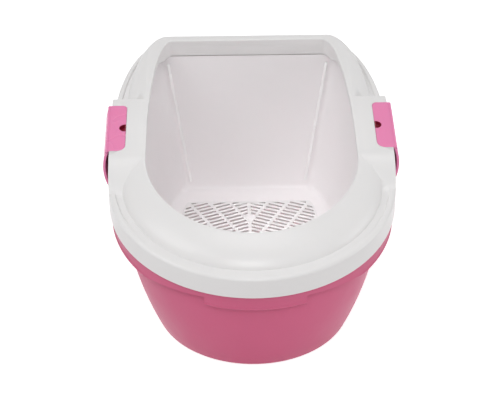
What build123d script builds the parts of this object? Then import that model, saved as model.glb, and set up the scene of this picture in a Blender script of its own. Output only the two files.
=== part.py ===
import os
from math import cos, radians, sin

from build123d import *

# Top entry litter box with a sloping rim: a pink catch tub stands on the floor, a white sifting tray
# hangs inside it by its flange, and a white splash hood drops over both rims and is clipped down at
# the sides by two pink latches. All three big pieces draw straight up out of their moulds.
# Millimetres. +Z is up, +Y points to the high back wall, +X to the right seen from the low front.
# The origin is the middle of the footprint, on the floor.

# Rim: one sloping plane and one egg-shaped outline that tub, tray and hood share
rim_width = 400.0  # across the hood's skirt
rim_length = 533.0  # along the slope
rim_slope = 11.7  # degrees, rising to the back
rim_mid_height = 208.7  # top of the hood's flange above the floor, halfway along
rear_corner_width = 73.0
rear_corner_depth = 210.0
seat_gap = 0.3  # between stacked flanges of different pieces

# Hood
hood_wall = 2.5
skirt_height = 26.6
skirt_round = 5.0  # outer edge of the bead
bead_width = 9.0
bead_rise = 2.2
bead_edge = 0.8  # bevel on the bead's inner edges
shell_thickness = 2.0  # both downwards and inwards, about hood_wall across the slope
crease_half_width = 182.0  # where the shoulder leaves the flange
crease_front = 247.0  # from the middle, along the slope
crease_rear = 253.0
crease_corner_width = 55.0
crease_corner_depth = 190.0
shoulder_rise = 24.0
shoulder_middle = 15.4  # level of the shoulder's fullest section
middle_half_width = 170.0
middle_front = 230.5
middle_rear = 252.0
middle_corner_width = 45.0
middle_corner_depth = 108.0
middle_nose_extra = 4.0  # the fullest section's nose is this much deeper than the mean of its neighbours
brow_half_width = 152.0  # where the shoulder levels out round the mouth
brow_front = 206.0
brow_rear = 250.0
brow_corner_width = 34.0
brow_corner_depth = 60.0
brow_round = 4.5
brow_inner_edge = 1.8  # bevel on the inside of the brow
mouth_half_width = 148.5
mouth_front = 202.6  # from the middle, along the slope
mouth_rear = 235.9
mouth_nose_depth = 162.7
mouth_corner_width = 33.0
mouth_corner_depth = 235.0
lip_wall = 2.4
lip_drop = 9.0
lip_edge = 0.9  # bevel round the mouth

# Latch seats raised on the hood's flange
seat_toe = 100.0  # in front of the middle, where the ramp leaves the flange
seat_crest = 34.0  # in front of the middle, where the ramp is up
seat_rear = 95.0
seat_inner = 152.0  # half-width where the seat runs into the shoulder
seat_corner_round = 7.0
seat_wall = 2.5
seat_lift = 0.2  # above the brow
seat_roof = 5.9  # from the seat's top down to the hollow under it

# Tub
tub_wall = 3.0
tub_base_half_width = 135.0
tub_base_front = 231.5
tub_base_rear = 210.0
tub_base_nose_depth = 150.0
tub_base_corner_width = 43.0
tub_base_corner_depth = 190.0
tub_edge_round = 10.0
tub_inner_fold = 6.0  # slanted band between wall and floor, inside
tub_body_inset = 16.0  # body under the flange, from the rim outline
tub_belly = 10.0  # how far the walls bow out halfway up
tub_floor = 4.5
tub_flange = 3.0
tub_lip_inset = 4.0
tub_lip_wall = 2.5
tub_lip_height = 43.5
tub_trim_height = 121.5  # level line above the floor where the lip ends on both front flanks
tub_tab_half_width = 68.0  # middle of the front, where the lip keeps its full depth
tub_bead_radius = 2.0
tub_bead_edge = 1.2  # bevel that makes the bead eight-sided
tub_bead_out = 1.0  # how far the bead stands out of the lip
foot_ring_width = 14.0
foot_ring_height = 1.5

# Sifting tray
tray_wall = 2.5
tray_underside = 32.0  # above the floor
tray_floor = 3.0
tray_half_width = 133.0
tray_front = 222.0
tray_rear = 208.5
tray_nose_depth = 150.0
tray_corner_width = 38.5
tray_corner_depth = 180.0
tray_fold = 7.0  # slanted band between wall and floor
tray_top_inset = 27.5
tray_flange = 2.4
tray_flange_inset = 6.0

# Slotted panel in the tray's floor
sieve_half_width = 108.0
sieve_front = 184.0
sieve_rear = 164.0
sieve_nose_depth = 125.0
sieve_corner_width = 15.0
sieve_corner_depth = 120.0
sieve_border = 4.0
sieve_spine = 5.0
slot_width = 4.3
slot_length = 23.7
slot_rib = 5.0
slot_pitch = 9.5
slot_angle = 26.0  # degrees from the X axis

# Latch: a plate snapped into the hood, and an arm that swings on the plate's outer edge
latch_front = 23.5  # in front of the middle, along the slope
latch_rear = 79.5
latch_inner = 178.0
latch_plate = 3.2
latch_recess_gap = 0.5
latch_front_round = 12.0
latch_rear_round = 7.0
hinge_out = 3.0  # hinge line outside the skirt
hinge_radius = 2.6
hinge_gap = 0.3
arm_wall = 3.2
arm_bow = 8.3  # how far the arm's middle line stands off the skirt
arm_round = 14.0
nose_radius = 2.5
nose_out = 3.0  # nose centre outside the tub bead's centre
nose_down = 5.0  # and below it
plug_radius = 8.2
plug_depth = 8.0
plug_wall = 1.4
plug_gap = 0.3

# Levels above the top of the hood's flange, measured straight up
slope_cos = cos(radians(rim_slope))
slope_sin = sin(radians(rim_slope))
tray_flange_top = -hood_wall - seat_gap
tray_flange_bottom = tray_flange_top - tray_flange
tub_flange_top = tray_flange_bottom - seat_gap
tub_flange_bottom = tub_flange_top - tub_flange
tub_lip_bottom = tub_flange_top - tub_lip_height
bead_inset = tub_lip_inset - tub_bead_out + tub_bead_radius
seat_top = shoulder_rise + seat_lift
hollow_top = seat_top - seat_roof
middle_nose_depth = (crease_half_width + brow_half_width) / 2 + middle_nose_extra

# Distances square to the slope, from the top of the hood's flange
plate_high = shoulder_rise * slope_cos
plate_low = plate_high - latch_plate
hinge_height = plate_high - hinge_radius
nose_height = (tub_lip_bottom + tub_bead_radius - nose_down) * slope_cos


def outline(half_width, front, rear, nose_depth, corner_width, corner_depth):
    # Closed egg shape: elliptical nose, straight sides, elliptical rear corners and a straight back
    nose_y = nose_depth - front
    corner_x = half_width - corner_width
    corner_y = rear - corner_depth
    nose = EllipticalCenterArc((0, nose_y), half_width, nose_depth, start_angle=180, arc_size=180)
    right_side = Line((half_width, nose_y), (half_width, corner_y))
    right_corner = EllipticalCenterArc((corner_x, corner_y), corner_width, corner_depth, arc_size=90)
    back = Line((corner_x, rear), (-corner_x, rear))
    left_corner = EllipticalCenterArc(
        (-corner_x, corner_y), corner_width, corner_depth, start_angle=90, arc_size=90
    )
    left_side = Line((-half_width, corner_y), (-half_width, nose_y))
    return make_face([nose, right_side, right_corner, back, left_corner, left_side])


def inset_outline(sizes, inset):
    # Every radius and reach of an egg shape shrinks by the same amount, so walls stay even
    return outline(*[size - inset for size in sizes])


rim_sizes = (
    rim_width / 2, rim_length / 2, rim_length / 2, rim_width / 2, rear_corner_width, rear_corner_depth
)
mouth_sizes = (
    mouth_half_width,
    mouth_front,
    mouth_rear,
    mouth_nose_depth,
    mouth_corner_width,
    mouth_corner_depth,
)
tub_sizes = (
    tub_base_half_width,
    tub_base_front,
    tub_base_rear,
    tub_base_nose_depth,
    tub_base_corner_width,
    tub_base_corner_depth,
)
tray_sizes = (tray_half_width, tray_front, tray_rear, tray_nose_depth, tray_corner_width, tray_corner_depth)
crease_sizes = (
    crease_half_width,
    crease_front,
    crease_rear,
    crease_half_width,
    crease_corner_width,
    crease_corner_depth,
)
middle_sizes = (
    middle_half_width,
    middle_front,
    middle_rear,
    middle_nose_depth,
    middle_corner_width,
    middle_corner_depth,
)
brow_sizes = (
    brow_half_width,
    brow_front,
    brow_rear,
    brow_half_width + mouth_nose_depth - mouth_half_width,
    brow_corner_width,
    brow_corner_depth,
)
sieve_sizes = (
    sieve_half_width,
    sieve_front,
    sieve_rear,
    sieve_nose_depth,
    sieve_corner_width,
    sieve_corner_depth,
)


def rim(inset):
    return inset_outline(rim_sizes, inset)


def on_rim(level):
    # Sloping plane that lies the given height straight above the hood's flange
    return Plane(origin=(0, 0, rim_mid_height + level), x_dir=(1, 0, 0), z_dir=(0, -slope_sin, slope_cos))


def rise(low, high, sketch):
    # Vertical wall or plate between two sloping planes
    return extrude(on_rim(low) * sketch, amount=high - low, dir=(0, 0, 1))


def edges_at(solid, level):
    # Edges that lie in the sloping plane at this level
    plane = on_rim(level)
    return solid.edges().filter_by(lambda edge: lies_on(edge, plane))


def lies_on(edge, plane):
    return all(abs(plane.to_local_coords(edge @ place).Z) < 0.01 for place in (0, 0.37, 0.74))


def bowl(sizes, low_height, fold, top_inset, top_level, inset, belly):
    # Bowl from a flat bottom up to an outline on the sloping rim; the fold is a slanted band round the
    # bottom edge, and the belly pushes the halfway section out
    low = [size - inset for size in sizes]
    top = [size - top_inset - inset for size in rim_sizes]
    start = low_height + fold
    sections = [Pos(0, 0, start) * outline(*low), on_rim(top_level) * outline(*top)]
    if belly:
        halfway = Plane(
            origin=(0, 0, (start + rim_mid_height + top_level) / 2),
            x_dir=(1, 0, 0),
            z_dir=(0, -slope_sin / slope_cos / 2, 1),
        )
        between = [(below + above) / 2 + belly for below, above in zip(low, top)]
        sections.insert(1, halfway * outline(*between))
    solid = loft(sections)
    if fold:
        foot = Pos(0, 0, low_height) * outline(*[size - fold for size in low])
        solid += loft([foot, sections[0]], ruled=True)
    return solid


def lip_trim(side):
    # What is cut off the hanging lip on one front flank
    width = rim_width / 2
    middle = Pos(side * (tub_tab_half_width + width / 2), -rim_length / 4, tub_trim_height / 2)
    return middle * Box(width, rim_length / 2, tub_trim_height)


def base_tub():
    outside = bowl(tub_sizes, 0, 0, tub_body_inset, tub_flange_top, 0, tub_belly)
    bottom = outside.edges().filter_by(lambda edge: lies_on(edge, Plane.XY))
    outside = fillet(bottom, tub_edge_round)
    inside = bowl(tub_sizes, tub_floor, tub_inner_fold, tub_body_inset, tub_flange_top, tub_wall, tub_belly)
    inside += rise(tub_flange_top, tub_flange_top + hood_wall, rim(tub_body_inset + tub_wall))
    flange = rise(tub_flange_bottom, tub_flange_top, rim(tub_lip_inset))
    lip = rise(tub_lip_bottom, tub_flange_top, rim(tub_lip_inset) - rim(tub_lip_inset + tub_lip_wall))
    bead_outer = rim(bead_inset - tub_bead_radius)
    bead_inner = rim(bead_inset + tub_bead_radius)
    bead = rise(tub_lip_bottom, tub_lip_bottom + 2 * tub_bead_radius, bead_outer - bead_inner)
    bead_rims = edges_at(bead, tub_lip_bottom) + edges_at(bead, tub_lip_bottom + 2 * tub_bead_radius)
    bead = chamfer(bead_rims, tub_bead_edge)
    hanging = lip + bead - lip_trim(1) - lip_trim(-1)
    foot_ring = tub_edge_round + foot_ring_width
    foot_recess = extrude(inset_outline(tub_sizes, foot_ring), amount=foot_ring_height)
    return outside + flange - inside - foot_recess + hanging


def sieve_tray():
    outside = bowl(tray_sizes, tray_underside, tray_fold, tray_top_inset, tray_flange_top, 0, 0)
    inner_fold = tray_fold - tray_floor / 2
    inside_floor = tray_underside + tray_floor
    inside = bowl(tray_sizes, inside_floor, inner_fold, tray_top_inset, tray_flange_top, tray_wall, 0)
    inside += rise(tray_flange_top, tray_flange_top + hood_wall, rim(tray_top_inset + tray_wall))
    flange = rise(tray_flange_bottom, tray_flange_top, rim(tray_flange_inset))
    opening = Pos(0, 0, tray_underside) * extrude(inset_outline(sieve_sizes, 0), amount=tray_floor)
    return outside + flange - inside - opening


def herringbone(side):
    # Slots of one half: rows slant up towards the spine and are cut short by the panel's border
    reach = tray_half_width + tray_rear
    half = inset_outline(sieve_sizes, sieve_border) & (
        Pos(side * (sieve_spine / 2 + reach), 0) * Rectangle(2 * reach, 4 * reach)
    )
    column_step = slot_length + slot_rib
    columns = int(reach / column_step) + 1
    rows = int(reach / slot_pitch) + 1
    pieces = []
    for column in range(-columns, columns + 1):
        for row in range(-rows, rows + 1):
            place = Rot(0, 0, -side * slot_angle) * Pos(column * column_step, row * slot_pitch)
            slot = place * Rectangle(slot_length, slot_width)
            cut = slot & half
            if cut:
                pieces += [face for face in cut.faces() if face.area > slot_width**2]
    return pieces


def sieve_floor():
    openings = herringbone(-1) + herringbone(1)
    panel = Face(inset_outline(sieve_sizes, 0).face().outer_wire(), [face.outer_wire() for face in openings])
    return extrude(Pos(0, 0, tray_underside) * panel, amount=tray_floor)


def shoulder(inset):
    # Full shell surface that leaves the crease steeply and levels out round the mouth
    levels = (0, shoulder_middle, shoulder_rise)
    outlines = (crease_sizes, middle_sizes, brow_sizes)
    sections = []
    for level, sizes in zip(levels, outlines):
        sections.append(on_rim(level - inset) * inset_outline(sizes, inset))
    return loft(sections)


def mouth(outset):
    return inset_outline(mouth_sizes, -outset)


def on_mouth(edge):
    # True for an edge that runs along the mouth itself
    centre = on_rim(shoulder_rise).to_local_coords(edge @ 0.5)
    return abs(centre.X) < mouth_half_width + 1 and -mouth_front - 1 < centre.Y < mouth_rear + 1


def skirt():
    # Turned-down edge with a bead on top, still closed by a full plate
    block = rise(-skirt_height, bead_rise, rim(0))
    block = fillet(edges_at(block, bead_rise), skirt_round)
    block -= rise(0, 2 * bead_rise, rim(bead_width))
    crest = [face for face in block.faces() if len(edges_at(face, bead_rise)) == len(face.edges())][0]
    block = chamfer(crest.inner_wires()[0].edges(), bead_edge)
    block = chamfer(edges_at(block, 0), bead_edge)
    return block - rise(-2 * skirt_height, -hood_wall, rim(hood_wall))


def splash_shell():
    # Skirt and shoulder in one wall, with the mouth's lip hanging inside
    hollow = rise(-2 * hood_wall, -shell_thickness, inset_outline(crease_sizes, shell_thickness))
    inner_shoulder = shoulder(shell_thickness)
    hollow += chamfer(edges_at(inner_shoulder, shoulder_rise - shell_thickness), brow_inner_edge)
    outer_shoulder = shoulder(0)
    outer_shoulder = fillet(edges_at(outer_shoulder, shoulder_rise), brow_round)
    lip_ring = mouth(lip_wall) - mouth(0)
    lip = rise(shoulder_rise - lip_drop, shoulder_rise, lip_ring)
    opening = rise(-2 * hood_wall, 2 * shoulder_rise, mouth(0))
    shell = skirt() + outer_shoulder - hollow + lip - opening
    return chamfer([edge for edge in edges_at(shell, shoulder_rise) if on_mouth(edge)], lip_edge)


side_plane = Plane(origin=(0, 0, rim_mid_height), x_dir=(0, slope_cos, slope_sin), z_dir=(1, 0, 0))


def seat_shape(inset, top):
    # Raised pad under the right latch: ramp in front, level top, blunt back; inset makes its hollow
    crest = seat_top * slope_cos
    ramp = Bezier(
        (-seat_toe, 0),
        (-(seat_toe * 2 + seat_crest) / 3, 0),
        (-(seat_toe + seat_crest * 2) / 3, crest),
        (-seat_crest, crest),
    )
    level = Line((-seat_crest, crest), (seat_rear, crest))
    back = Polyline(
        (seat_rear, crest), (seat_rear, -skirt_height), (-seat_toe, -skirt_height), (-seat_toe, 0)
    )
    profile = Pos(-inset, -inset) * make_face([ramp, level, back])
    length = seat_toe + seat_rear
    width = rim_width / 2 - seat_inner
    plan = Rectangle(width, length)
    outer_back = plan.vertices().group_by(Axis.Y)[-1].sort_by(Axis.X)[-1]
    plan = fillet(outer_back, seat_corner_round)
    middle = Pos(seat_inner + width / 2 + inset / 2, (seat_rear - seat_toe) / 2 - inset)
    plan = (middle * plan) & rim(inset)
    bottom = -hood_wall / 2 if inset == 0 else -2 * hood_wall
    return rise(bottom, top, plan) & extrude(side_plane * profile, amount=rim_width)


def plate_plan(gap):
    # Right latch plate seen square to the slope, running out past the hinge
    length = latch_front + latch_rear + 2 * gap
    width = rim_width / 2 + hinge_out - latch_inner + gap
    plan = Rectangle(width, length)
    plan = fillet(plan.vertices().sort_by(Axis.X)[:2].sort_by(Axis.Y)[0], latch_front_round + gap)
    inner_back = plan.vertices().group_by(Axis.Y)[-1].sort_by(Axis.X)[0]
    plan = fillet(inner_back, latch_rear_round + gap)
    return Pos(latch_inner - gap + width / 2, (latch_rear - latch_front) / 2) * plan


def half_moon(radius, inner):
    # D-shaped hollow with its flat towards the mouth
    disc = Pos(latch_inner + plug_wall, (latch_rear - latch_front) / 2) * Circle(radius)
    keep = Pos(inner + radius, (latch_rear - latch_front) / 2) * Rectangle(2 * radius, 3 * radius)
    return disc & keep


def slab(low, high, sketch):
    # Plate between two distances from the flange plane, cut square to the slope
    plane = Plane(
        origin=(0, -slope_sin * low, rim_mid_height + slope_cos * low),
        x_dir=(1, 0, 0),
        z_dir=(0, -slope_sin, slope_cos),
    )
    return extrude(plane * sketch, amount=high - low)


def along_latch(section):
    # Sweeps a section seen from the front along the length of the latch
    front = side_plane.from_local_coords(Vector(-latch_front, 0, 0))
    across = Plane(origin=front, x_dir=(1, 0, 0), z_dir=(0, -slope_cos, -slope_sin))
    return extrude(across * section, amount=-latch_front - latch_rear)


def latch_plate_right():
    plate = slab(plate_low, plate_high, plate_plan(0))
    plate += slab(plate_high - plug_depth, plate_high, half_moon(plug_radius + plug_wall, latch_inner))
    hollow = half_moon(plug_radius, latch_inner + plug_wall)
    plate -= slab(plate_high - plug_depth + plug_wall, plate_high + 1, hollow)
    hinge = Pos(rim_width / 2 + hinge_out, hinge_height) * Circle(hinge_radius + hinge_gap)
    return plate - along_latch(hinge)


def latch_arm_right():
    # Bowed arm from the hinge rod down to the nose that grips under the tub's bead
    skirt_x = rim_width / 2
    nose = (skirt_x - bead_inset + nose_out, nose_height)
    hinge = (skirt_x + hinge_out, hinge_height)
    line = ThreePointArc(hinge, (skirt_x + arm_bow, (hinge_height + nose_height) / 2), nose)
    section = trace(line, arm_wall) + Pos(*nose) * Circle(nose_radius)
    section += Pos(*hinge) * Circle(hinge_radius)
    reach = plate_high - nose_height + nose_radius
    side_view = Rectangle(latch_front + latch_rear, reach)
    side_view = fillet(side_view.vertices().group_by(Axis.Y)[0], arm_round)
    side_view = Pos((latch_rear - latch_front) / 2, plate_high - reach / 2) * side_view
    return along_latch(section) & extrude(side_plane * side_view, amount=rim_width)


def hood():
    seat = seat_shape(0, seat_top)
    plug_hole = half_moon(plug_radius + plug_wall + plug_gap, latch_inner - plug_gap)
    removed = seat_shape(seat_wall, hollow_top)
    removed += slab(plate_low, plate_high + seat_wall, plate_plan(latch_recess_gap))
    removed += slab(plate_low - 2 * seat_wall, plate_high, plug_hole)
    shell = splash_shell() + seat + mirror(seat, about=Plane.YZ)
    return shell - removed - mirror(removed, about=Plane.YZ)


if __name__ == "__main__":
    os.makedirs("parts", exist_ok=True)
    plate = latch_plate_right()
    arm = latch_arm_right()
    export_step(base_tub(), "parts/base_tub.step")
    export_step(sieve_tray(), "parts/sieve_tray.step")
    export_step(sieve_floor(), "parts/sieve_floor.step")
    export_step(hood(), "parts/hood.step")
    export_step(plate, "parts/latch_plate_right.step")
    export_step(mirror(plate, about=Plane.YZ), "parts/latch_plate_left.step")
    export_step(arm, "parts/latch_arm_right.step")
    export_step(mirror(arm, about=Plane.YZ), "parts/latch_arm_left.step")
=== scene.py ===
import bpy
import math
from mathutils import Matrix, Vector


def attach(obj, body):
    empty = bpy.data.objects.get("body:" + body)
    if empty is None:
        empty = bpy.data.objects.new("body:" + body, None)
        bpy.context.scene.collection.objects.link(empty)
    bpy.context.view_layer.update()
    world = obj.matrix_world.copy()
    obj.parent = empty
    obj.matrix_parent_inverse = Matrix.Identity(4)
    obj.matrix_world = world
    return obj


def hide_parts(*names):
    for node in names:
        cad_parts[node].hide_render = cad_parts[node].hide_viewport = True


# Top entry litter box: a rose catch tub, a white sifting tray and a white splash hood held by two latches.
# Metres. +Z is up, +Y runs to the high back, and the camera looks from the low front.

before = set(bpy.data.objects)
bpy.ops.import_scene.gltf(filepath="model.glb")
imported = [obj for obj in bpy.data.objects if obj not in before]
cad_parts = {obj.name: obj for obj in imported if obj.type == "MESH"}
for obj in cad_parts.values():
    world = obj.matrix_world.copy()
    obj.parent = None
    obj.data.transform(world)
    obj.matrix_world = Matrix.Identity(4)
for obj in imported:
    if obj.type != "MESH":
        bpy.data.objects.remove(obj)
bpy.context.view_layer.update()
bpy.ops.object.select_all(action="DESELECT")
print("frame loaded:", sorted(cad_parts))


def startMaterial(name):
    material = bpy.data.materials.new(name)
    material.use_nodes = True
    tree = material.node_tree
    tree.nodes.clear()
    output = tree.nodes.new("ShaderNodeOutputMaterial")
    shader = tree.nodes.new("ShaderNodeBsdfPrincipled")
    tree.links.new(shader.outputs["BSDF"], output.inputs["Surface"])
    return material, tree, shader


def addNoise(tree, scale, detail):
    coords = tree.nodes.new("ShaderNodeTexCoord")
    noise = tree.nodes.new("ShaderNodeTexNoise")
    noise.inputs["Scale"].default_value = scale
    noise.inputs["Detail"].default_value = detail
    tree.links.new(coords.outputs["Object"], noise.inputs["Vector"])
    return noise.outputs["Fac"]


def addRange(tree, source, low, high, fromLow=0.3, fromHigh=0.7):  # a noise stays mostly within 0.3 to 0.7
    remap = tree.nodes.new("ShaderNodeMapRange")
    remap.interpolation_type = "SMOOTHSTEP"
    remap.inputs["From Min"].default_value = fromLow
    remap.inputs["From Max"].default_value = fromHigh
    remap.inputs["To Min"].default_value = low
    remap.inputs["To Max"].default_value = high
    tree.links.new(source, remap.inputs["Value"])
    return remap.outputs["Result"]


def addTint(tree, source, colorA, colorB):
    mix = tree.nodes.new("ShaderNodeMix")
    mix.data_type = "RGBA"
    mix.inputs["A"].default_value = (*colorA, 1)
    mix.inputs["B"].default_value = (*colorB, 1)
    tree.links.new(source, mix.inputs["Factor"])
    return mix.outputs["Result"]


def addBump(tree, shader, height, strength, distance, before=None):
    bump = tree.nodes.new("ShaderNodeBump")
    bump.inputs["Strength"].default_value = strength
    bump.inputs["Distance"].default_value = distance
    tree.links.new(height, bump.inputs["Height"])
    if before:
        tree.links.new(before.outputs["Normal"], bump.inputs["Normal"])
    tree.links.new(bump.outputs["Normal"], shader.inputs["Normal"])
    return bump


def addShadeWell(tree, tint, shadeWell):  # painted shade: a dark colour within a round edge about the hollow's centre
    coords = tree.nodes.new("ShaderNodeTexCoord")
    split = tree.nodes.new("ShaderNodeSeparateXYZ")
    folded = tree.nodes.new("ShaderNodeMath")  # distance from the middle, so both sides share one shaded hollow
    folded.operation = "ABSOLUTE"
    joined = tree.nodes.new("ShaderNodeCombineXYZ")
    tree.links.new(coords.outputs["Object"], split.inputs["Vector"])
    tree.links.new(split.outputs["X"], folded.inputs[0])
    tree.links.new(folded.outputs["Value"], joined.inputs["X"])
    tree.links.new(split.outputs["Y"], joined.inputs["Y"])
    tree.links.new(split.outputs["Z"], joined.inputs["Z"])
    reach = tree.nodes.new("ShaderNodeVectorMath")
    reach.operation = "DISTANCE"
    reach.inputs[1].default_value = shadeWell["center"]
    tree.links.new(joined.outputs["Vector"], reach.inputs[0])
    inside = addRange(tree, reach.outputs["Value"], 1, 0, fromLow=shadeWell["clear"], fromHigh=shadeWell["edge"])
    mix = tree.nodes.new("ShaderNodeMix")
    mix.data_type = "RGBA"
    mix.inputs["B"].default_value = (*shadeWell["color"], 1)
    tree.links.new(tint, mix.inputs["A"])
    tree.links.new(inside, mix.inputs["Factor"])
    return mix.outputs["Result"]


# Moulded polypropylene: lengths in metres, glow is the light that sinks in under the surface
plastic = {
    "ior": 1.49, "cloudDetail": 3.0, "patchDetail": 2.0,
    "waveDetail": 1.0, "waveHeight": 0.002, "grainDetail": 2.0, "grainHeight": 0.0002,
}


def makeMoulded(name, finish):
    material, tree, shader = startMaterial(name)
    cloud = addNoise(tree, finish["cloudScale"], plastic["cloudDetail"])
    tint = addTint(tree, addRange(tree, cloud, 0, 1), finish["colorLow"], finish["colorHigh"])
    # painted shade: the latch's finger hollow is painted dark red
    if "shadeWell" in finish:
        tint = addShadeWell(tree, tint, finish["shadeWell"])
    tree.links.new(tint, shader.inputs["Base Color"])
    patch = addNoise(tree, finish["patchScale"], plastic["patchDetail"])
    roughness = addRange(tree, patch, finish["roughLow"], finish["roughHigh"])
    tree.links.new(roughness, shader.inputs["Roughness"])
    wave = addNoise(tree, finish["waveScale"], plastic["waveDetail"])
    waveBump = addBump(tree, shader, wave, finish["waveStrength"], plastic["waveHeight"])
    grain = addNoise(tree, finish["grainScale"], plastic["grainDetail"])
    addBump(tree, shader, grain, finish["grainStrength"], plastic["grainHeight"], before=waveBump)
    shader.inputs["IOR"].default_value = plastic["ior"]
    shader.inputs["Specular IOR Level"].default_value = finish["shine"]
    shader.inputs["Subsurface Weight"].default_value = finish["glow"]
    shader.inputs["Subsurface Radius"].default_value = finish["glowRadius"]
    shader.inputs["Subsurface Scale"].default_value = finish["glowDepth"]
    return material


tubFinish = {
    "colorLow": (0.665, 0.134, 0.252), "colorHigh": (0.715, 0.150, 0.278),
    "cloudScale": 3.0, "patchScale": 14.0, "roughLow": 0.38, "roughHigh": 0.47, "shine": 0.3,
    "waveScale": 9.0, "waveStrength": 0.05, "grainScale": 1400.0, "grainStrength": 0.10,
    "glow": 0.12, "glowRadius": (1.0, 0.35, 0.5), "glowDepth": 0.003,
}
latchFinish = dict(
    tubFinish,
    colorLow=(0.900, 0.240, 0.485), colorHigh=(0.940, 0.262, 0.517),
    roughLow=0.26, roughHigh=0.34, shine=0.5,
    shadeWell={  # painted shade: the finger hollow, painted dark red to its edge
        "center": (0.1794, 0.0240, 0.2309), "clear": 0.0098, "edge": 0.0104, "color": (0.30, 0.012, 0.040),
    },
)
hoodFinish = {
    "colorLow": (0.850, 0.838, 0.835), "colorHigh": (0.877, 0.865, 0.862),
    "cloudScale": 4.0, "patchScale": 12.0, "roughLow": 0.28, "roughHigh": 0.37, "shine": 0.6,
    "waveScale": 8.0, "waveStrength": 0.05, "grainScale": 1200.0, "grainStrength": 0.12,
    "glow": 0.15, "glowRadius": (1.0, 0.95, 0.92), "glowDepth": 0.003,
}
# painted pink light: the tray's pale pink tint stands in for the rose tub's light coming through its thin
# white walls
trayFinish = dict(
    hoodFinish,
    colorLow=(0.965, 0.925, 0.937), colorHigh=(0.980, 0.940, 0.952),
    roughLow=0.42, roughHigh=0.54, grainStrength=0.2, glow=0.2, glowRadius=(1.0, 0.9, 0.92),
)
# painted shade: the slotted floor is a darker copy of the tray's white
slotFloorShadedFinish = dict(trayFinish, colorLow=(0.88, 0.86, 0.862), colorHigh=(0.90, 0.88, 0.882))
# painted highlight: a lighter, glossier copy of the tray's white for the corner ribs
cornerRibHighlightFinish = dict(
    trayFinish, colorLow=(0.990, 0.972, 0.976), colorHigh=(0.995, 0.980, 0.984),
    roughLow=0.26, roughHigh=0.34, shine=0.8,
)
finishes = {  # by slot, and by piece where it differs from the rest of its slot
    "tub_pink": makeMoulded("roseTubPlastic", tubFinish),
    "latch_pink": makeMoulded("roseLatchPlastic", latchFinish),
    "hood_white": makeMoulded("whiteHoodPlastic", hoodFinish),
    "tray_white": makeMoulded("whiteTrayPlastic", trayFinish),
    "slottedFloor": makeMoulded("whiteFloorShadedPlastic", slotFloorShadedFinish),
    "cornerRib": makeMoulded("whiteCornerHighlightPlastic", cornerRibHighlightFinish),
}
print("finishes made:", len(finishes))


# Moulded pieces: a copy of each solid is merged and smoothed, and edges past the angle stay sharp
moulding = {"mergeGap": 0.000005, "normalWeight": 80, "softAngle": 32, "shellAngle": 22, "flatAngle": 14}


def smoothPiece(node, name, body, slotName, sharpAngle):
    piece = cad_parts[node].copy()
    piece.data = piece.data.copy()
    for key in list(piece.keys()):  # the copy keeps none of the solid's own tags
        del piece[key]
    piece.name = name
    piece.data.name = name
    bpy.context.scene.collection.objects.link(piece)
    bpy.ops.object.select_all(action="DESELECT")
    piece.select_set(True)
    bpy.context.view_layer.objects.active = piece
    bpy.ops.object.mode_set(mode="EDIT")
    bpy.ops.mesh.select_all(action="SELECT")
    bpy.ops.mesh.remove_doubles(threshold=moulding["mergeGap"])
    bpy.ops.object.mode_set(mode="OBJECT")
    bpy.ops.object.shade_smooth_by_angle(angle=math.radians(sharpAngle))
    weighted = piece.modifiers.new("evenNormals", "WEIGHTED_NORMAL")
    weighted.keep_sharp = True
    weighted.weight = moulding["normalWeight"]
    bpy.ops.object.modifier_apply(modifier=weighted.name)
    piece.data.materials.clear()
    piece.data.materials.append(finishes.get(name, finishes[slotName]))
    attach(piece, body)
    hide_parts(node)


softAngle = moulding["softAngle"]
smoothPiece("base_tub", "catchTub", "base", "tub_pink", softAngle)
smoothPiece("sieve_tray", "siftingTray", "tray", "tray_white", softAngle)
smoothPiece("sieve_floor", "slottedFloor", "tray", "tray_white", softAngle)
smoothPiece("hood", "splashHood", "hood", "hood_white", moulding["shellAngle"])
for side in ("left", "right"):
    title = side.title()
    smoothPiece("latch_plate_" + side, "latchPlate" + title, "hood", "latch_pink", moulding["flatAngle"])
    smoothPiece("latch_arm_" + side, "latchArm" + title, "latch_" + side, "latch_pink", softAngle)
print("moulded pieces ready")


# Corner ribs: a flat bead down each rear corner of the tray, its ends given for the right one, in a lighter
# white than the tray as a painted highlight along each corner
cornerRib = {
    "top": (0.122, 0.2303, 0.242), "foot": (0.0905, 0.2070, 0.048), "halfWidth": 0.0036, "proud": 0.0019,
    "sides": 32, "endRound": 0.0018, "endSteps": 4, "sharpAngle": 50,
}


def makeCornerRib(side, name):
    top = Vector((side * cornerRib["top"][0], *cornerRib["top"][1:]))
    foot = Vector((side * cornerRib["foot"][0], *cornerRib["foot"][1:]))
    run = top - foot
    bpy.ops.object.select_all(action="DESELECT")
    bpy.ops.mesh.primitive_cylinder_add(
        vertices=cornerRib["sides"], radius=cornerRib["halfWidth"], depth=run.length
    )
    rib = bpy.context.active_object
    rib.name = name
    rib.data.name = name
    ends = rib.modifiers.new("roundEnds", "BEVEL")
    ends.width = cornerRib["endRound"]
    ends.segments = cornerRib["endSteps"]
    ends.limit_method = "ANGLE"
    bpy.ops.object.modifier_apply(modifier=ends.name)
    flatten = Matrix.Diagonal((1, cornerRib["proud"] / cornerRib["halfWidth"], 1, 1))
    rib.matrix_world = (
        Matrix.Translation((top + foot) / 2)
        @ run.to_track_quat("Z", "Y").to_matrix().to_4x4()
        @ flatten
    )
    bpy.ops.object.transform_apply(location=True, rotation=True, scale=True)
    bpy.ops.object.shade_smooth_by_angle(angle=math.radians(cornerRib["sharpAngle"]))
    rib.data.materials.append(finishes["cornerRib"])
    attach(rib, "tray")


makeCornerRib(-1, "cornerRibLeft")
makeCornerRib(1, "cornerRibRight")
print("corner ribs ready")


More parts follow.
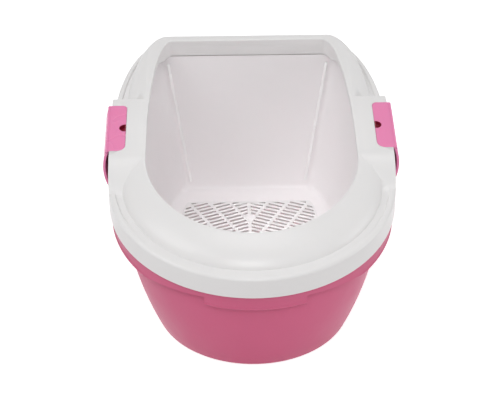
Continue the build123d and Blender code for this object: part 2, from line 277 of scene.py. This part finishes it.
# Rear curtain: the mouth's lip reaches down towards the tray across the back, and fades out on both sides
rearCurtain = {
    "halfWidth": 0.1485, "cornerWidth": 0.033, "cornerDepth": 0.235,
    "rear": 0.2359, "start": 0.180,  # from the middle, along the slope
    "slope": 11.70, "lipPlace": 0.2310, "lipEdge": 0.2718,  # the lip's edge lies this high at lipPlace
    "drop": 0.0161, "leastDrop": 0.02, "fadeStart": 0.45, "cornerShare": 0.4,  # the last three are shares
    "wall": 0.0022, "standOff": 0.00002, "columns": 120, "rows": 4,
    "edgeRound": 0.0005, "edgeSteps": 3, "edgeAngle": 50, "sharpAngle": 35,
}


def curtainPlace(share):
    # Share runs from 0 at the left end to 1 at the right end. Gives x, the way along the slope, and how much
    # of the full drop is left there
    flat = rearCurtain["halfWidth"] - rearCurtain["cornerWidth"]
    middle = rearCurtain["rear"] - rearCurtain["cornerDepth"]
    low = math.asin((rearCurtain["start"] - middle) / rearCurtain["cornerDepth"])
    side = -1 if share < 0.5 else 1
    along = abs(share - 0.5) * 2
    cornerShare = rearCurtain["cornerShare"]
    if along < 1 - cornerShare:
        return side * flat * along / (1 - cornerShare), rearCurtain["rear"], 1.0
    bend = (along - 1 + cornerShare) / cornerShare
    angle = math.pi / 2 - bend * (math.pi / 2 - low)
    x = flat + rearCurtain["cornerWidth"] * math.cos(angle)
    fadeStart = rearCurtain["fadeStart"]
    fade = max(0.0, bend - fadeStart) / (1 - fadeStart)
    return side * x, middle + rearCurtain["cornerDepth"] * math.sin(angle), 1 - fade * fade * (3 - 2 * fade)


def makeRearCurtain():
    slope = math.radians(rearCurtain["slope"])
    bpy.ops.object.select_all(action="DESELECT")
    bpy.ops.mesh.primitive_grid_add(
        x_subdivisions=rearCurtain["columns"], y_subdivisions=rearCurtain["rows"], size=1
    )
    curtain = bpy.context.active_object
    curtain.name = "rearCurtain"
    curtain.data.name = "rearCurtain"
    for point in curtain.data.vertices:
        x, along, fallShare = curtainPlace(point.co.x + 0.5)
        y = along * math.cos(slope)
        top = rearCurtain["lipEdge"] + (y - rearCurtain["lipPlace"]) * math.tan(slope)
        fall = (0.5 - point.co.y) * max(fallShare, rearCurtain["leastDrop"]) * rearCurtain["drop"]
        point.co = (x, y + rearCurtain["standOff"], top - fall)
    wall = curtain.modifiers.new("curtainWall", "SOLIDIFY")
    wall.thickness = rearCurtain["wall"]
    wall.offset = -1
    bpy.ops.object.modifier_apply(modifier=wall.name)
    edges = curtain.modifiers.new("softEdge", "BEVEL")
    edges.width = rearCurtain["edgeRound"]
    edges.segments = rearCurtain["edgeSteps"]
    edges.limit_method = "ANGLE"
    edges.angle_limit = math.radians(rearCurtain["edgeAngle"])
    bpy.ops.object.modifier_apply(modifier=edges.name)
    bpy.ops.object.shade_smooth_by_angle(angle=math.radians(rearCurtain["sharpAngle"]))
    curtain.data.materials.append(finishes["hood_white"])
    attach(curtain, "hood")
    print("rear curtain ready")


makeRearCurtain()


# Floor, lights and camera
studio = {
    "floorSize": 14.0, "floorColor": (0.80, 0.80, 0.80), "floorGlow": 0.75,
    "worldColor": (1.0, 1.0, 1.0), "worldStrength": 0.41, "backdropColor": (1.0, 1.0, 1.0),
    "lamps": [
        {"name": "keyLamp", "place": (-1.5, -0.6, 1.9), "aim": (0, 0, 0.15), "size": 1.2, "power": 10.5},
        {"name": "frontLamp", "place": (-0.1, -1.7, 1.5), "aim": (0, 0.1, 0.15), "size": 0.8, "power": 9.0},
        {"name": "topLamp", "place": (0.0, 0.1, 2.6), "aim": (0, 0.05, 0.1), "size": 1.0, "power": 6.1},
        {"name": "sideLamp", "place": (2.0, -0.2, 0.8), "aim": (0, 0, 0.15), "size": 1.0, "power": 6.8},
        {"name": "mouthLamp", "place": (0.0, -0.02, 0.85), "aim": (0, 0.03, 0.1), "size": 0.14, "power": 0.05,
         "spread": 26},
    ],
}


def backdropRays(tree):  # 1 for the rays that see the pale backdrop, 0 for those that light the object
    path = tree.nodes.new("ShaderNodeLightPath")
    first = tree.nodes.new("ShaderNodeMath")
    first.operation = "MAXIMUM"
    second = tree.nodes.new("ShaderNodeMath")
    second.operation = "MAXIMUM"
    tree.links.new(path.outputs["Is Camera Ray"], first.inputs[0])
    tree.links.new(path.outputs["Is Glossy Ray"], first.inputs[1])
    tree.links.new(first.outputs[0], second.inputs[0])
    tree.links.new(path.outputs["Is Transmission Ray"], second.inputs[1])
    return second.outputs[0]


def makeFloor():
    bpy.ops.mesh.primitive_plane_add(size=studio["floorSize"], location=(0, 0, 0))
    floor = bpy.context.active_object
    floor.name = "paleFloor"
    material = bpy.data.materials.new("paleFloorPaint")
    material.use_nodes = True
    tree = material.node_tree
    tree.nodes.clear()
    output = tree.nodes.new("ShaderNodeOutputMaterial")
    paint = tree.nodes.new("ShaderNodeBsdfDiffuse")
    paint.inputs["Color"].default_value = (*studio["floorColor"], 1)
    glow = tree.nodes.new("ShaderNodeEmission")
    glow.inputs["Strength"].default_value = studio["floorGlow"]
    both = tree.nodes.new("ShaderNodeAddShader")
    choose = tree.nodes.new("ShaderNodeMixShader")
    tree.links.new(paint.outputs[0], both.inputs[0])
    tree.links.new(glow.outputs[0], both.inputs[1])
    tree.links.new(backdropRays(tree), choose.inputs[0])
    tree.links.new(paint.outputs[0], choose.inputs[1])
    tree.links.new(both.outputs[0], choose.inputs[2])
    tree.links.new(choose.outputs[0], output.inputs["Surface"])
    floor.data.materials.append(material)


def makeWorld():
    world = bpy.data.worlds.new("studioWorld")
    bpy.context.scene.world = world
    world.use_nodes = True
    tree = world.node_tree
    tree.nodes.clear()
    output = tree.nodes.new("ShaderNodeOutputWorld")
    light = tree.nodes.new("ShaderNodeBackground")
    light.inputs["Color"].default_value = (*studio["worldColor"], 1)
    light.inputs["Strength"].default_value = studio["worldStrength"]
    seen = tree.nodes.new("ShaderNodeBackground")
    seen.inputs["Color"].default_value = (*studio["backdropColor"], 1)
    choose = tree.nodes.new("ShaderNodeMixShader")
    tree.links.new(backdropRays(tree), choose.inputs[0])
    tree.links.new(light.outputs[0], choose.inputs[1])
    tree.links.new(seen.outputs[0], choose.inputs[2])
    tree.links.new(choose.outputs[0], output.inputs["Surface"])


def aimAt(place, target):
    forward = (target - place).normalized()
    return forward.to_track_quat("-Z", "Y")


def makeLamps():
    for lamp in studio["lamps"]:
        data = bpy.data.lights.new(lamp["name"], "AREA")
        data.shape = "SQUARE"
        data.size = lamp["size"]
        data.energy = lamp["power"]
        data.spread = math.radians(lamp.get("spread", 180))
        holder = bpy.data.objects.new(lamp["name"], data)
        bpy.context.scene.collection.objects.link(holder)
        holder.location = lamp["place"]
        holder.rotation_mode = "QUATERNION"
        holder.rotation_quaternion = aimAt(Vector(lamp["place"]), Vector(lamp["aim"]))


cameraSetup = {
    "place": (-0.0464, -2.0006, 1.2547), "elevation": 29.36, "azimuth": 1.28, "roll": -0.23,
    "lens": 113.93, "sensor": 36.0, "clipEnd": 60,
}


def makeCamera():
    data = bpy.data.cameras.new("mainCamera")
    data.sensor_fit = "HORIZONTAL"
    data.sensor_width = cameraSetup["sensor"]
    data.lens = cameraSetup["lens"]
    data.clip_end = cameraSetup["clipEnd"]
    holder = bpy.data.objects.new("mainCamera", data)
    bpy.context.scene.collection.objects.link(holder)
    holder.matrix_world = (
        Matrix.Translation(cameraSetup["place"])
        @ Matrix.Rotation(math.radians(-cameraSetup["azimuth"]), 4, "Z")
        @ Matrix.Rotation(math.radians(90 - cameraSetup["elevation"]), 4, "X")
        @ Matrix.Rotation(math.radians(cameraSetup["roll"]), 4, "Z")
    )
    bpy.context.scene.camera = holder


makeFloor()
makeWorld()
makeLamps()
makeCamera()
bpy.context.scene.view_settings.view_transform = "Standard"
print("studio ready")
